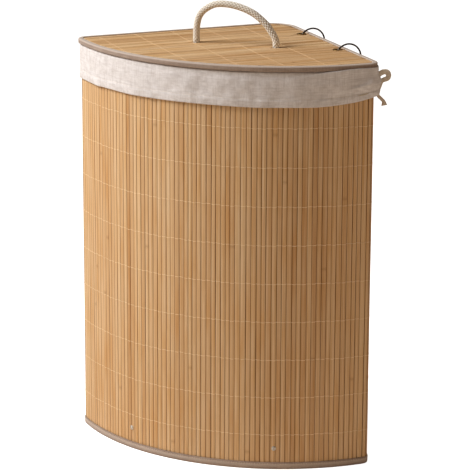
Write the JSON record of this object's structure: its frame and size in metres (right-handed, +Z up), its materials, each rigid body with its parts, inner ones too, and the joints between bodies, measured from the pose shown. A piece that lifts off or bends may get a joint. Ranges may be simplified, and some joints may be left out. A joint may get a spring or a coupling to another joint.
{
  "type": "laundry hamper",
  "caption": "Corner laundry hamper: quarter-round bamboo slat wall, folded cotton liner with drawstring cuff, and a flat slatted lid on wire ring hinges with a rope handle.",
  "frame": {"origin": "centre of the bowed front's arc, on the floor, 14 mm in from both straight walls", "axes": "+Z up; +X is square to the straight wall that carries the hinge rings, +Y square to the other straight wall; the bowed front faces -X and -Y"},
  "size_m": [0.399, 0.3688, 0.7182],
  "materials": {
    "bamboo": "satin, natural split bamboo",
    "backing": "matt non-woven backing",
    "liner": "matt off-white cotton weave",
    "binding": "matt taupe woven tape",
    "thread": "pale cotton thread",
    "cord": "taupe woven cord",
    "rope": "cream braided cotton rope",
    "board": "raw fibreboard",
    "ring_steel": "dark bright wire",
    "hoop_steel": "drawn wire and pressed sheet",
    "rivet_metal": "satin",
    "eyelet_brass": "aged"
  },
  "bodies": {
    "hamper_body": {"wall_slats_front": "bamboo", "wall_slats_left": "bamboo", "wall_slats_right": "bamboo", "wall_slats_corner": "bamboo", "wall_backing_front": "backing", "wall_backing_left": "backing", "wall_backing_right": "backing", "wall_backing_corner": "backing", "wall_threads": "thread", "seam_tape": "binding", "rim_hoop": "hoop_steel", "base_hoop": "hoop_steel", "rim_binding": "binding", "base_binding": "binding", "base_board": "board", "base_brackets": "hoop_steel", "base_rivets": "rivet_metal", "wall_eyelets": "eyelet_brass", "liner_sides": "liner", "liner_bottom": "liner", "liner_cuff": "liner", "liner_hem": "liner", "drawstring": "cord", "bow_knot": "cord", "bow_loop_front": "cord", "bow_loop_back": "cord", "bow_tail_front": "cord", "bow_tail_back": "cord"},
    "lid": {"lid_board": "board", "lid_slats": "bamboo", "lid_threads": "thread", "lid_lining": "liner", "lid_binding": "binding", "lid_eyelets": "eyelet_brass", "handle_rope_ends": "rope", "handle_knots": "rope"},
    "handle": {"handle_rope": "rope"},
    "ring_back": {"hinge_ring_back": "ring_steel"},
    "ring_front": {"hinge_ring_front": "ring_steel"}
  },
  "joints": [
    {"name": "lid_hinge", "type": "hinge", "parent": "hamper_body", "child": "lid", "pos_m": [0.019, -0.1575, 0.635], "axis": [0, 1, 0], "range_deg": [0, 105]},
    {"name": "handle_tilt", "type": "hinge", "parent": "lid", "child": "handle", "pos_m": [-0.13223, -0.13223, 0.658], "axis": [0.7615, -0.6481, 0], "range_deg": [-80, 80], "stiffness_Nm_per_rad": 0.05},
    {"name": "ring_back_spin", "type": "hinge", "parent": "hamper_body", "child": "ring_back", "pos_m": [0.019, -0.088, 0.635], "axis": [0, 1, 0], "continuous": true},
    {"name": "ring_front_spin", "type": "hinge", "parent": "hamper_body", "child": "ring_front", "pos_m": [0.019, -0.227, 0.635], "axis": [0, 1, 0], "continuous": true}
  ]
}
